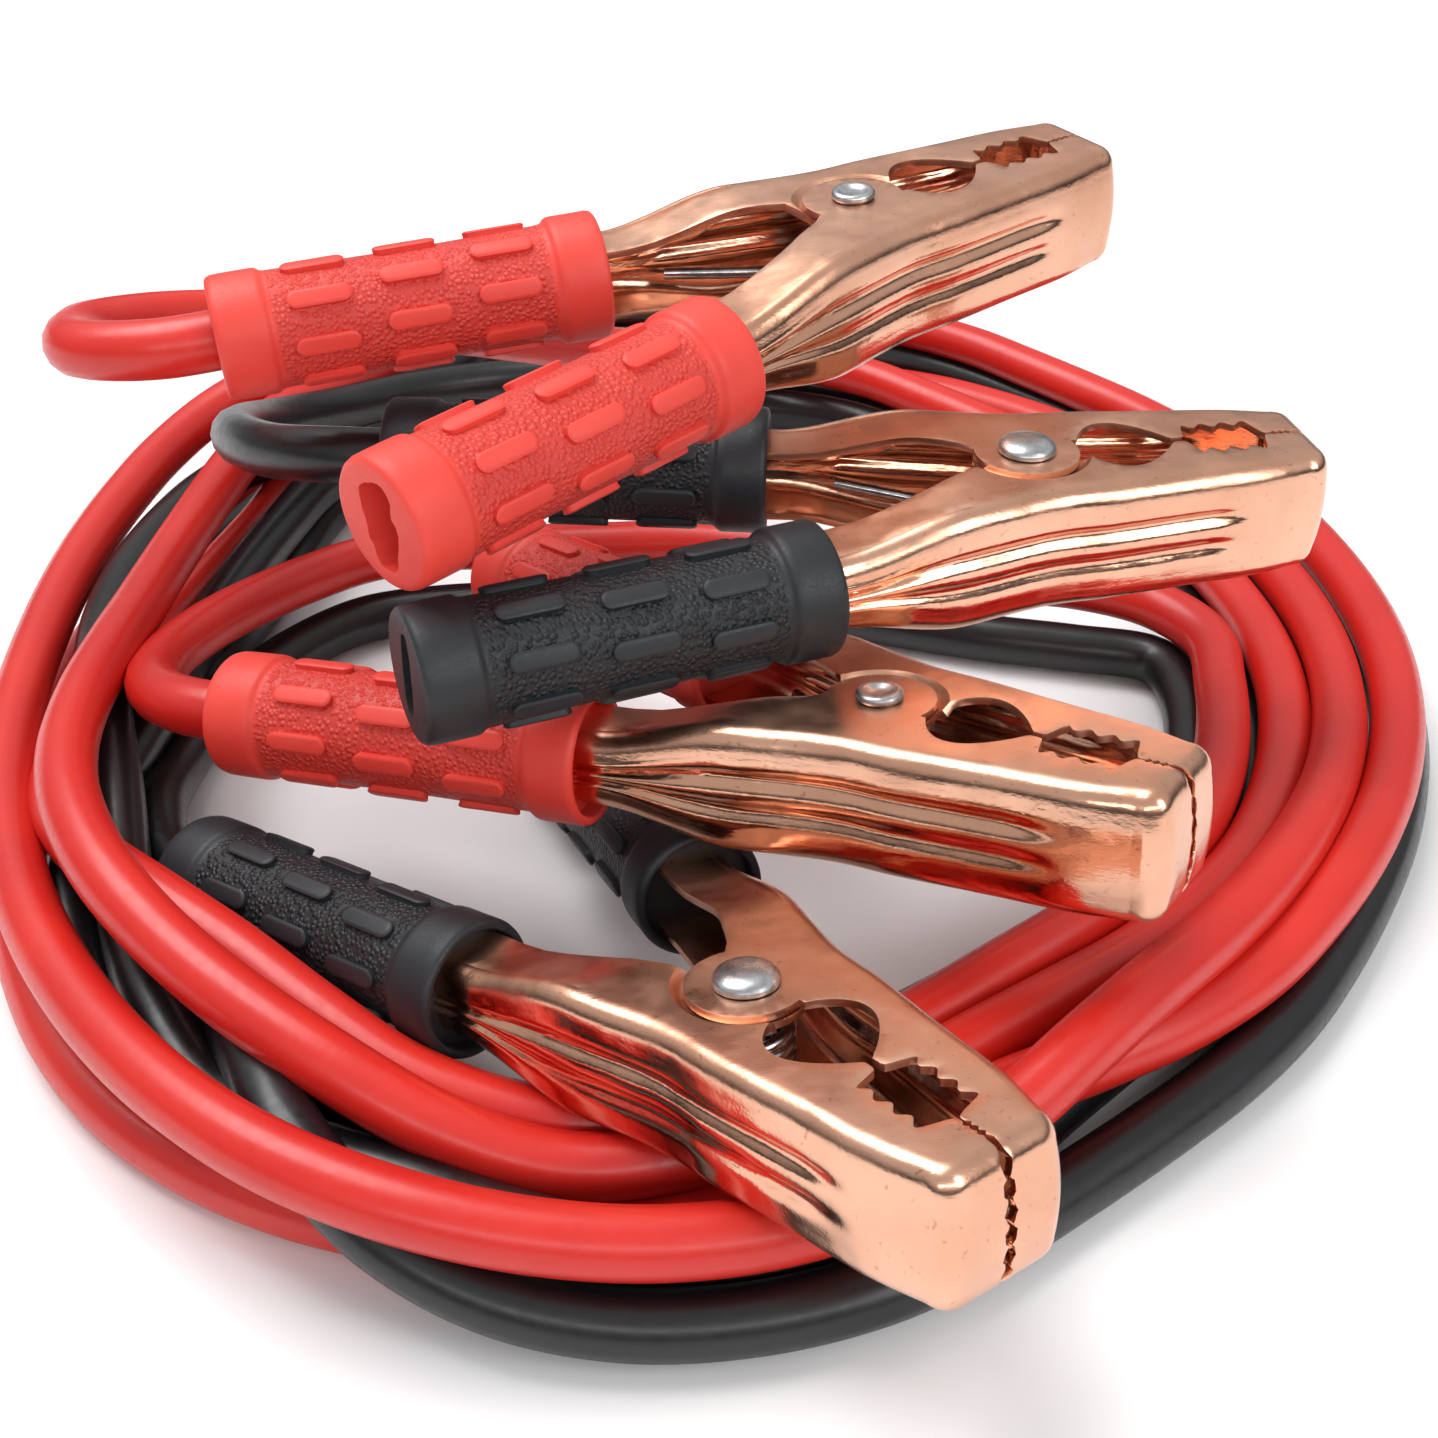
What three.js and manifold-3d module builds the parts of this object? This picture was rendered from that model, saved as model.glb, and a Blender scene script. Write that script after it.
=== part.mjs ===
// Car jumper cable: four spring clamps piled on a coiled twin lead.
// Millimetres, +Z up, origin on the floor under the middle of the four clamps.
import * as THREE from "three";
import { mergeVertices } from "three/addons/utils/BufferGeometryUtils.js";
import Module from "manifold-3d";

const wasm = await Module();
wasm.setup();

// Driving dimensions of a clamp, in its own frame:
// the rivet stands on z at the origin, +x points to the jaw tips,
// and "out" is the distance from the middle plane towards a half's own side.
const sheet = 1.2;
const gap = 0.3;
const jawLength = 50;
const channelHeight = 21;
const pivotHalfWidth = 17.5;
const cheekHalfWidth = 14.6;
const noseHalfWidth = 11;
const noseRounding = 4.5;
const earRadius = 8.6;
const earClearance = 0.5;
const joggleWidth = 1.3;
const joggleSetBack = 3.2;
const rivetRadius = 3;
const rivetHeadRadius = 4.8;
const rivetHeadHeight = 2;
const holeClearance = 0.3;
const lensHalfWidth = 8;
const lensStart = 8.2;
const lensEnd = 25;
const lensSteps = 7;
const toothDepth = 1.3;
const toothPitch = 3;
const toothCount = 3;
const biteHalfWidth = 3.4;
const biteStart = 28;
const biteLeadIn = 1.2;
const biteRunOut = 1.4;
const zigzagDepth = 0.5;
const zigzagPitch = 2.4;
const zigzagCount = 3;

// Handle and rubber grip.
const gripStartBack = 38.6;
const gripStartOut = 20.4;
const handleAngle = THREE.MathUtils.degToRad(13.9);
const gripLength = 65.5;
const handleInGrip = 46;
const handleWidth = 12.4;
const handleHeight = 12.4;
const gripWall = 0.5;
const gripRadius = Math.hypot(handleWidth / 2 + gap, handleHeight / 2 + gap) + gripWall;
const waistRadius = gripRadius - 0.3;
const flangeRadius = gripRadius + 0.7;
const flangeLength = 8.5;
const rimRadius = gripRadius + 1.1;
const rimLength = 8.5;
const rimRecess = 3;
const rimWall = 1.6;
const edgeRounding = 1.2;
const slotWidth = 5;
const slotHeight = 13;
const endBoreDepth = 8;
const boreClearance = 1.1;
const slotDepth = 13;

// Torsion spring round the rivet.
const wireRadius = 1.1;
const springRadius = 6.6;
const springBore = rivetRadius + 0.5;
const springHeight = 12;
const springLegLift = 4.6;
const springLegLength = 27;
const springLegClearance = 2.2;

// Cable.
const cableRadius = 5;
const cableSides = 10;
const roundSides = 20;

// Coil of the twin lead: ring between two ovals lying on the floor.
const coilHeight = 19;
const coilOuter = { x: 0.5, y: 5, halfX: 136.5, halfY: 163 };
const coilInner = { x: -14, y: 5, halfX: 101, halfY: 139.5 };
const coilSteps = 44;
const strandBumps = 3;

// Middle of the clamps' floor plan in the layout's own frame, which becomes the part's origin.
const layoutMiddle = { x: 4.27, y: -69.27 };

// Height of each clamp's rivet above the one below it, from the thickness of what lies between.
const layerThickness = rimRadius + channelHeight / 2;
const layerHeights = {
  lower_red: layerThickness - 5.49,
  upper_black: layerThickness - 0.69,
  upper_red: layerThickness + 9.31,
};

// Where each clamp lies in the layout: rivet centre in plan, then turn, tilt and lean in degrees.
// "under" is the clamp that it lies on, "fixed" the half that holds the cable,
// and "outer" the half whose ears lie outside.
const clamps = {
  lower_black: {
    at: [4.3, -125.2], turn: -52.2, tilt: -9.8, lean: -3.2,
    under: null, fixed: "front", outer: "rear",
  },
  lower_red: {
    at: [24.6, -79.1], turn: -33.2, tilt: -6.5, lean: -5.4,
    under: "lower_black", fixed: "front", outer: "front",
  },
  upper_black: {
    at: [50, -35.6], turn: 10, tilt: 0.4, lean: 0,
    under: "lower_red", fixed: "rear", outer: "rear",
  },
  upper_red: {
    at: [23.2, -1.2], turn: 30, tilt: -4.4, lean: 1.3,
    under: "upper_black", fixed: "rear", outer: "front",
  },
};
const isRed = (name) => name.endsWith("red");

// Cable leads from the grips to the coil, each after its grip's own exit.
const leadPoints = {
  upper_red: [
    [-105, -20, 87], [-111.5, -6, 84], [-107, 10, 80], [-94, 24, 75.5], [-76, 36, 70],
    [-54, 50, 62], [-32, 68, 51], [-8, 90, 39], [14, 112, 30], [36, 131, 25], [60, 142, 24.4],
  ],
  upper_black: [
    [-80, -7, 62.5], [-91, 12, 56], [-96, 35, 47], [-94, 60, 37], [-88, 84, 29], [-82, 105, 25],
    [-68, 126, 24.4],
  ],
  lower_red: [
    [-97.5, -40, 32.5], [-102, -23, 27.5], [-100, -2, 22], [-91.5, 20, 17], [-77, 36, 15.5], [-58, 42.5, 15.4],
    [-38, 43, 15.2], [-12, 46, 14.8], [15, 43, 14.6], [42, 34.5, 14.5], [62, 29.8, 14.5], [84, 28.5, 14.3],
  ],
  lower_black: [
    [-99.5, -45, 11], [-101.5, -28, 7], [-99.5, -8, 5.1], [-91, 13, 5.1], [-77, 29.5, 5.1], [-58, 35.5, 5.1],
    [-38, 37, 5.1], [-12, 38.5, 5.1], [15, 35.5, 5.1], [42, 27, 5.1], [60, 21.5, 5.1], [84.8, 15.5, 5.1],
  ],
};

// Materials of the plain model.
const copper = new THREE.MeshStandardMaterial({ color: 0xc9876a, roughness: 0.28, metalness: 1 });
const steel = new THREE.MeshStandardMaterial({ color: 0xc4c6c8, roughness: 0.35, metalness: 1 });
const redRubber = new THREE.MeshStandardMaterial({ color: 0xe8473c, roughness: 0.6, metalness: 0 });
const blackRubber = new THREE.MeshStandardMaterial({ color: 0x2a2e33, roughness: 0.6, metalness: 0 });
const redJacket = new THREE.MeshStandardMaterial({ color: 0xd9342b, roughness: 0.45, metalness: 0 });
const blackJacket = new THREE.MeshStandardMaterial({ color: 0x1d1f22, roughness: 0.5, metalness: 0 });

// Closed mesh to solid and back.
function toSolid(geometry) {
  const bare = geometry.clone();
  bare.deleteAttribute("normal");
  bare.deleteAttribute("uv");
  const merged = mergeVertices(bare, 1e-4);
  const vertProperties = Float32Array.from(merged.attributes.position.array);
  const triVerts = Uint32Array.from(merged.index.array);
  return new wasm.Manifold(new wasm.Mesh({ numProp: 3, vertProperties, triVerts }));
}

function toGeometry(solid) {
  const mesh = solid.getMesh();
  const geometry = new THREE.BufferGeometry();
  geometry.setAttribute("position", new THREE.BufferAttribute(Float32Array.from(mesh.vertProperties), 3));
  geometry.setIndex(Array.from(mesh.triVerts));
  geometry.computeVertexNormals();
  return geometry;
}

// Flat outline in x and y, with its height centred on z.
function slab(points, height, middle = 0) {
  const geometry = new THREE.ExtrudeGeometry(new THREE.Shape(points), { depth: height, bevelEnabled: false });
  geometry.translate(0, 0, middle - height / 2);
  return toSolid(geometry);
}

// Side outline in x and z, with its width centred on y.
function sideSlab(points, width) {
  const geometry = new THREE.ExtrudeGeometry(new THREE.Shape(points), { depth: width, bevelEnabled: false });
  geometry.translate(0, 0, -width / 2);
  geometry.rotateX(Math.PI / 2);
  return toSolid(geometry);
}

function disc(radius, height, middle = 0, sides = roundSides) {
  const geometry = new THREE.CylinderGeometry(radius, radius, height, sides);
  geometry.rotateX(Math.PI / 2);
  geometry.translate(0, 0, middle);
  return toSolid(geometry);
}

function block(sizeX, sizeY, sizeZ, x, y, z) {
  const geometry = new THREE.BoxGeometry(sizeX, sizeY, sizeZ);
  geometry.translate(x, y, z);
  return toSolid(geometry);
}

const alongHandle = new THREE.Vector2(-Math.cos(handleAngle), Math.sin(handleAngle));
const acrossHandle = new THREE.Vector2(Math.sin(handleAngle), Math.cos(handleAngle));

// Point beside the handle's middle line: distance past the grip's rim, then outwards.
function besideHandle(past, outward) {
  return new THREE.Vector2(-gripStartBack, gripStartOut)
    .addScaledVector(alongHandle, past)
    .addScaledVector(acrossHandle, outward);
}

// Outer line of a half in the sheet plane, drawn in by "inset", from the nose to the handle's end.
function outerLine(inset) {
  const nose = jawLength - inset;
  const rounding = noseRounding - inset / 2;
  const side = noseHalfWidth - inset;
  const corner = [0, 0.35, 0.7, 1].map((turn) => new THREE.Vector2(
    nose - rounding + rounding * Math.cos((turn * Math.PI) / 2),
    side - rounding + rounding * Math.sin((turn * Math.PI) / 2),
  ));
  const cheek = new THREE.SplineCurve([
    new THREE.Vector2(nose - rounding, side),
    new THREE.Vector2(jawLength * 0.74, noseHalfWidth * 0.4 + cheekHalfWidth * 0.6 - inset),
    new THREE.Vector2(jawLength * 0.5, cheekHalfWidth - inset),
    new THREE.Vector2(jawLength * 0.22, (cheekHalfWidth + pivotHalfWidth) / 2 + 0.4 - inset),
    new THREE.Vector2(0, pivotHalfWidth - inset),
    besideHandle(-gripStartBack * 0.55, handleWidth / 2 + 0.7 - inset),
    besideHandle(-2, handleWidth / 2 - inset),
  ]).getPoints(15).slice(1);
  return [...corner, ...cheek, besideHandle(handleInGrip - inset, handleWidth / 2 - inset)];
}

// Inner edge of a half's plates, from the handle's end back to the nose: ear neck, lens, bite, seam.
function innerLine() {
  const line = [
    besideHandle(handleInGrip, -handleWidth / 2),
    besideHandle(0, -handleWidth / 2),
    new THREE.Vector2(-earRadius - 7, 7.5),
    new THREE.Vector2(-earRadius - 1.5, 4.2),
    new THREE.Vector2(-earRadius, gap / 2 + 2),
    new THREE.Vector2(-earRadius + 1.5, gap / 2),
    new THREE.Vector2(earRadius - 1.5, gap / 2),
    new THREE.Vector2(lensStart, 2.6),
  ];
  for (let i = 1; i < lensSteps; i += 1) {
    const share = i / lensSteps;
    const bulge = Math.sin(Math.PI * share ** 0.8) ** 0.8;
    line.push(new THREE.Vector2(lensStart + (lensEnd - lensStart) * share, gap / 2 + lensHalfWidth * bulge));
  }
  line.push(new THREE.Vector2(lensEnd, gap / 2));
  line.push(new THREE.Vector2(biteStart, gap / 2));
  for (let i = 0; i < toothCount; i += 1) {
    const start = biteStart + biteLeadIn + i * toothPitch;
    line.push(new THREE.Vector2(start, gap / 2 + biteHalfWidth));
    line.push(new THREE.Vector2(start + toothPitch / 2, gap / 2 + biteHalfWidth - toothDepth));
  }
  const biteEnd = biteStart + biteLeadIn + toothCount * toothPitch;
  line.push(new THREE.Vector2(biteEnd, gap / 2 + biteHalfWidth * 0.8));
  line.push(new THREE.Vector2(biteEnd + biteRunOut, gap / 2));
  for (let i = 0; i < zigzagCount; i += 1) {
    const start = jawLength - 1 - (zigzagCount - i) * zigzagPitch;
    line.push(new THREE.Vector2(start, gap / 2));
    line.push(new THREE.Vector2(start + zigzagPitch / 2, gap / 2 + zigzagDepth));
  }
  line.push(new THREE.Vector2(jawLength - 1, gap / 2));
  line.push(new THREE.Vector2(jawLength, gap / 2));
  return line;
}

// Side view: full height at the jaw, drawn together towards the grip.
function sideLine(inset) {
  const high = channelHeight / 2 - inset;
  const low = handleHeight / 2 - inset;
  const neck = -gripStartBack + 3;
  const pastNose = jawLength + 5;
  return [
    [pastNose, -high], [pastNose, high], [-pivotHalfWidth * 0.8, high], [neck, low],
    [-gripStartBack - gripLength, low], [-gripStartBack - gripLength, -low], [neck, -low],
    [-pivotHalfWidth * 0.8, -high],
  ].map(([x, z]) => new THREE.Vector2(x, z));
}

// A stamped half: top and bottom plates joined by one bent outer wall, with an ear on each plate.
function stampedHalf(side, earsOutside) {
  const sign = side === "front" ? -1 : 1;
  const allAcross = 200;
  const toSide = (points) => points.map((p) => new THREE.Vector2(p.x, p.y * sign));
  const outline = [...outerLine(0), ...innerLine()];
  const farIn = 30;
  const hollowLine = [
    ...outerLine(sheet), besideHandle(handleInGrip + 5, -farIn), new THREE.Vector2(jawLength - sheet, -farIn),
  ];
  let body = slab(toSide(outline), channelHeight).intersect(sideSlab(sideLine(0), allAcross));
  const cavity = slab(toSide(hollowLine), channelHeight).intersect(sideSlab(sideLine(sheet), allAcross));
  body = body.subtract(cavity);

  const earDrop = earsOutside ? 0 : sheet + gap;
  const earTop = channelHeight / 2 - earDrop;
  const earBore = disc(rivetRadius + holeClearance, channelHeight * 2, 0, 16);
  for (const end of [-1, 1]) {
    const earMiddle = end * (earTop - sheet / 2);
    if (earsOutside) {
      body = body.add(disc(earRadius, sheet, earMiddle));
    } else {
      const face = end * (channelHeight / 2);
      const clearRadius = earRadius + earClearance;
      const clearDisc = disc(clearRadius, sheet * 1.5, face - (end * sheet) / 4);
      const joggleHeight = sheet * 2 + gap;
      const joggleRing = disc(clearRadius + joggleWidth, joggleHeight, face - (end * joggleHeight) / 2)
        .subtract(disc(clearRadius, joggleHeight * 2, face));
      const reach = clearRadius * 4;
      const ownSide = block(reach * 2, reach, joggleHeight * 3, 0, sign * (reach / 2 + joggleSetBack), face);
      const lowEar = disc(clearRadius + joggleWidth, sheet, earMiddle).intersect(ownSide);
      body = body.subtract(clearDisc);
      body = body.add(joggleRing.intersect(ownSide)).add(lowEar).add(disc(earRadius, sheet, earMiddle));
    }
  }
  return body.subtract(earBore);
}

// Rubber grip: moulded sleeve with a rim towards the jaw, a waist and an end flange.
function gripSleeve(side, holdsCable) {
  const end = gripLength;
  const profile = [
    [0, 0], [rimRadius - edgeRounding, 0], [rimRadius, edgeRounding], [rimRadius, rimLength - 1],
    [gripRadius, rimLength + 0.6], [waistRadius, gripLength * 0.45], [gripRadius, end - flangeLength - 0.6],
    [flangeRadius, end - flangeLength + 0.4], [flangeRadius, end - edgeRounding],
    [flangeRadius - edgeRounding, end], [0, end],
  ].map(([radius, along]) => new THREE.Vector2(radius, along));
  const lathe = new THREE.LatheGeometry(profile, roundSides);
  lathe.rotateZ(Math.PI / 2);
  let sleeve = toSolid(lathe);
  const pocketLength = handleInGrip + gap;
  sleeve = sleeve.subtract(
    block(pocketLength + 2, handleWidth + 2 * gap, handleHeight + 2 * gap, -pocketLength / 2 + 1, 0, 0),
  );
  const mouthRadius = rimRadius - rimWall;
  const mouth = new THREE.CylinderGeometry(mouthRadius, mouthRadius, rimRecess * 2, roundSides);
  mouth.rotateZ(Math.PI / 2);
  sleeve = sleeve.subtract(toSolid(mouth));
  if (holdsCable) {
    const boreRadius = cableRadius + boreClearance;
    const bore = new THREE.CylinderGeometry(boreRadius, boreRadius, endBoreDepth + 1, 16);
    bore.rotateZ(Math.PI / 2);
    bore.translate(-end + (endBoreDepth - 1) / 2, 0, 0);
    sleeve = sleeve.subtract(toSolid(bore));
  } else {
    sleeve = sleeve.subtract(block(slotDepth + 1, slotWidth, slotHeight, -end + (slotDepth - 1) / 2, 0, 0));
  }
  const sign = side === "front" ? 1 : -1;
  const mesh = toGeometry(sleeve);
  mesh.rotateZ(sign * handleAngle);
  mesh.translate(-gripStartBack, -sign * gripStartOut, 0);
  return mesh;
}

// Rivet through the four ears, with a head at each end.
function rivet() {
  const seat = channelHeight / 2 + gap;
  const top = seat + rivetHeadHeight;
  const half = [
    [rivetRadius, seat], [rivetHeadRadius, seat], [rivetHeadRadius, seat + 0.5],
    [rivetHeadRadius * 0.6, seat + rivetHeadHeight * 0.85],
  ];
  const profile = [
    [0, -top], ...half.map(([radius, z]) => [radius, -z]).reverse(), ...half, [0, top],
  ].map(([radius, z]) => new THREE.Vector2(radius, z));
  const lathe = new THREE.LatheGeometry(profile, 16);
  lathe.rotateX(Math.PI / 2);
  return lathe;
}

// Torsion spring: wound body round the rivet and a leg along the inside of each half's wall.
function torsionSpring() {
  let spring = disc(springRadius, springHeight).subtract(disc(springBore, springHeight * 2));
  for (const [sign, lift] of [[-1, springLegLift], [1, -springLegLift]]) {
    const start = new THREE.Vector3(-1, sign * (springRadius - wireRadius), lift);
    const besideWall = handleWidth / 2 - sheet - wireRadius - springLegClearance;
    const wall = besideHandle(-gripStartBack + springLegLength, besideWall);
    const far = new THREE.Vector3(wall.x, sign * wall.y, lift * 0.6);
    const leg = new THREE.CylinderGeometry(wireRadius, wireRadius, start.distanceTo(far), 6);
    const direction = far.clone().sub(start).normalize();
    leg.applyQuaternion(new THREE.Quaternion().setFromUnitVectors(new THREE.Vector3(0, 1, 0), direction));
    const middle = start.clone().add(far).multiplyScalar(0.5);
    leg.translate(middle.x, middle.y, middle.z);
    spring = spring.add(toSolid(leg));
  }
  return toGeometry(spring);
}

function clampTurning(name) {
  const { turn, tilt, lean } = clamps[name];
  const angles = [lean, tilt, turn].map(THREE.MathUtils.degToRad);
  return new THREE.Matrix4().makeRotationFromEuler(new THREE.Euler(...angles, "ZYX"));
}

// Rivet height of a clamp: the lowest stands on its grips' flanges, the others on the clamp under them.
function rivetHeight(name) {
  const { under } = clamps[name];
  if (under) {
    return rivetHeight(under) + layerHeights[name];
  }
  const turning = clampTurning(name);
  const along = new THREE.Vector3(1, 0, 0).transformDirection(turning);
  const lows = [-1, 1].map((sign) => {
    const p = besideHandle(gripLength - edgeRounding, 0);
    const flangeCentre = new THREE.Vector3(p.x, p.y * sign, 0).applyMatrix4(turning);
    return flangeCentre.z - flangeRadius * Math.sqrt(1 - along.z ** 2);
  });
  return -Math.min(...lows);
}

function clampMatrix(name) {
  return clampTurning(name).setPosition(...clamps[name].at, rivetHeight(name));
}

function clampGroup(name) {
  const { fixed, outer } = clamps[name];
  const red = isRed(name);
  const group = new THREE.Group();
  group.applyMatrix4(clampMatrix(name));
  const add = (label, geometry, material) => {
    const mesh = new THREE.Mesh(geometry, material);
    mesh.name = `${name}_${label}`;
    group.add(mesh);
  };
  for (const side of ["front", "rear"]) {
    const role = side === fixed ? "cable" : "free";
    add(`${role}_jaw`, toGeometry(stampedHalf(side, side === outer)), copper);
    add(`${role}_grip`, gripSleeve(side, side === fixed), red ? redRubber : blackRubber);
  }
  add("rivet", rivet(), steel);
  add("spring", torsionSpring(), steel);
  return group;
}

// Cable tube along its middle line, round section.
function cableTube(points) {
  const route = new THREE.CatmullRomCurve3(points, false, "centripetal");
  const section = new THREE.Shape();
  for (let i = 0; i < cableSides; i += 1) {
    const angle = (i / cableSides) * Math.PI * 2;
    const place = [cableRadius * Math.cos(angle), cableRadius * Math.sin(angle)];
    if (i === 0) {
      section.moveTo(...place);
    } else {
      section.lineTo(...place);
    }
  }
  const steps = Math.ceil(route.getLength() / (cableRadius * 5));
  return new THREE.ExtrudeGeometry(section, { steps, bevelEnabled: false, extrudePath: route });
}

function leadGeometry(name) {
  const sign = clamps[name].fixed === "front" ? -1 : 1;
  const matrix = clampMatrix(name);
  const exits = [gripLength - endBoreDepth + gap, gripLength + 2, gripLength + 9].map((past) => {
    const p = besideHandle(past, 0);
    return new THREE.Vector3(p.x, sign * p.y, 0).applyMatrix4(matrix);
  });
  return cableTube([...exits, ...leadPoints[name].map((p) => new THREE.Vector3(...p))]);
}

// Coil: one ring of the outer shape of the turns, ridged where the strands lie side by side.
function coilGeometry() {
  const profile = [[0.06, 0], [0, coilHeight * 0.2], [0, coilHeight * 0.8]];
  for (let i = 0; i < strandBumps; i += 1) {
    profile.push([(i + 0.25) / strandBumps, coilHeight]);
    profile.push([(i + 0.75) / strandBumps, coilHeight]);
    if (i < strandBumps - 1) {
      profile.push([(i + 1) / strandBumps, coilHeight * 0.87]);
    }
  }
  profile.push([1, coilHeight * 0.8], [1, coilHeight * 0.2], [0.94, 0], [0.06, 0]);
  const reach = 1;
  const section = profile.map(([u, z]) => new THREE.Vector2(reach + u, z)).reverse();
  const lathe = new THREE.LatheGeometry(section, coilSteps);
  lathe.rotateX(Math.PI / 2);
  const place = lathe.attributes.position;
  for (let i = 0; i < place.count; i += 1) {
    const angle = Math.atan2(place.getY(i), place.getX(i));
    const u = Math.hypot(place.getX(i), place.getY(i)) - reach;
    const oval = ({ x, y, halfX, halfY }) => [x + halfX * Math.cos(angle), y + halfY * Math.sin(angle)];
    const [ix, iy] = oval(coilInner);
    const [ox, oy] = oval(coilOuter);
    place.setXYZ(i, ix + (ox - ix) * u, iy + (oy - iy) * u, place.getZ(i));
  }
  return toGeometry(toSolid(lathe));
}

const jumperCable = new THREE.Group();
jumperCable.position.set(-layoutMiddle.x, -layoutMiddle.y, 0);
for (const name of Object.keys(clamps)) {
  jumperCable.add(clampGroup(name));
  const lead = new THREE.Mesh(leadGeometry(name), isRed(name) ? redJacket : blackJacket);
  lead.name = `${name}_lead`;
  jumperCable.add(lead);
}
const coil = new THREE.Mesh(coilGeometry(), redJacket);
coil.name = "cable_coil";
jumperCable.add(coil);

export default jumperCable;
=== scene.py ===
"""Car jumper cable: four copper spring clamps with rubber grips, piled on a coiled twin lead."""
import math

import bmesh
import bpy
import numpy as np
from mathutils import Matrix, Vector
from mathutils.geometry import delaunay_2d_cdt


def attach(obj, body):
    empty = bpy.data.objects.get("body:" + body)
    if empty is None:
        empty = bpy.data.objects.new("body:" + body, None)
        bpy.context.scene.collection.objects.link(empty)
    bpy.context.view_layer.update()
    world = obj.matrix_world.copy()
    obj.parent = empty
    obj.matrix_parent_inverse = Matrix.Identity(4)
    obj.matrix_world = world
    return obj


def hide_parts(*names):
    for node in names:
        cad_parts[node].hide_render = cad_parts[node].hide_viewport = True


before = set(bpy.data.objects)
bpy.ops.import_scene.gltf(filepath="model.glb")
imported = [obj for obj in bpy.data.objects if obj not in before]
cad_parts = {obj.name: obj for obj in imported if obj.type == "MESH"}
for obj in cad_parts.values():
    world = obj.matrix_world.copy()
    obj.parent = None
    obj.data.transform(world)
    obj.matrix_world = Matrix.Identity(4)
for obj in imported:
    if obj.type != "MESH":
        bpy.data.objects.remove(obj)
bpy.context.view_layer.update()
scene = bpy.context.scene
MM = 0.001

# Camera
camera_data = bpy.data.cameras.new("camera")
camera_data.lens = 47.8
camera_data.sensor_width = 36
camera_data.clip_start = 0.01
camera = bpy.data.objects.new("camera", camera_data)
scene.collection.objects.link(camera)
camera.location = (-0.00427, -0.2489, 0.2124)
look = Vector((-0.00427, 0.06927, 0)) - camera.location
camera.rotation_euler = look.to_track_quat("-Z", "Y").to_euler()
scene.camera = camera

# Sizes, mm, in a clamp's own frame
SHEET = 1.2
GAP = 0.3
JAW = 50.0
PLATE_HALF = 10.5
HANDLE_HALF = 6.2
NOSE_HALF = 11.0
NOSE_ROUND = 4.5
CHEEK_HALF = 14.6
PIVOT_HALF = 17.5
EAR = 8.6
GRIP_BACK = 38.6
GRIP_OUT = 20.4
GRIP_ANGLE = math.radians(13.9)
GRIP_LENGTH = 65.5
GRIP_RADIUS = 9.69
WAIST_RADIUS = 9.39
FLANGE_RADIUS = 10.39
RIM_RADIUS = 10.79
CORD_RADIUS = 5.0
FOLD = 3.6
BARREL = 0.6
GROOVE_DEPTH = 1.1
SLIT_DEPTH = 12.5
BORE_ACROSS = 12.2
BORE_DEPTH = 8.0
# Along a grip from its jaw end, where its lead's first points lie
LEAD_PAST = (57.8, 67.5, 74.5)

# Each clamp: its rivet's middle in the part's frame, then turn, tilt and lean in degrees.
# "fixed" is the half that holds the cable, "outer" the one whose ears lie outside,
# and "hole" the free grip's end opening: width, height and how ragged its edge is.
CLAMPS = {
    "lower_black": dict(at=(0.03, -55.93, 29.407), turn=-52.2, tilt=-9.8, lean=-3.2,
                        fixed="front", outer="rear", red=False, domed=True, hole=(5, 14, 0.2)),
    "lower_red": dict(at=(20.33, -9.83, 45.209), turn=-33.2, tilt=-6.5, lean=-5.4,
                      fixed="front", outer="front", red=True, domed=False, hole=(7, 14, 0.5)),
    "upper_black": dict(at=(45.73, 33.67, 65.811), turn=10, tilt=0.4, lean=0,
                        fixed="rear", outer="rear", red=False, domed=True, hole=(4.6, 14, 0.25)),
    "upper_red": dict(at=(18.93, 68.07, 96.414), turn=30, tilt=-4.4, lean=1.3,
                      fixed="rear", outer="front", red=True, domed=False, hole=(7.4, 14, 0.9)),
}

# Middle of the clamps in the frame in which the photograph was measured, mm
LAYOUT_X, LAYOUT_Y = 4.27, -69.27

# Cable leads after each grip's own exit, in the photograph's frame.
# Their first points are those of the part's source: 11 in each lower lead, 7 in the upper red
# one and 4 in the upper black one. The others differ, since the source's tubes end at its ring
# and here the leads run on into the first and last turns.
LEADS = {
    "lower_red": [
        (-97.5, -40, 32.5), (-102, -23, 27.5), (-100, -2, 22), (-91.5, 20, 17), (-77, 36, 15.5),
        (-58, 42.5, 15.4), (-38, 43, 15.2), (-12, 46, 14.8), (15, 43, 14.6), (42, 34.5, 14.5),
        (62, 29.8, 14.5), (77, 27.5, 14.3),
    ],
    "lower_black": [
        (-99.5, -45, 11), (-101.5, -28, 7), (-99.5, -8, 5.1), (-91, 13, 5.1), (-77, 29.5, 5.1),
        (-58, 35.5, 5.1), (-38, 37, 5.1), (-12, 38.5, 5.1), (15, 35.5, 5.1), (42, 27, 5.1),
        (60, 21.5, 5.1), (75, 18, 5.1),
    ],
    "upper_red": [
        (-105, -20, 87), (-111.5, -6, 84), (-107, 10, 80), (-94, 24, 75.5), (-76, 36, 70),
        (-54, 50, 62), (-32, 68, 51), (-10, 88, 40), (8, 108, 31), (19, 124, 27), (17, 141, 25.5),
        (2, 152, 25.5), (-18, 156, 25.5),
    ],
    "upper_black": [
        (-80, -7, 62.5), (-91, 12, 56), (-96, 35, 47), (-94, 60, 37), (-86, 82, 29.5),
        (-70, 99, 26), (-48, 108, 25), (-25, 111, 25), (-6, 117, 25), (7, 128, 25), (5, 139, 25),
        (-6, 144, 25.3), (-22, 146, 25.3),
    ],
}
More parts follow.
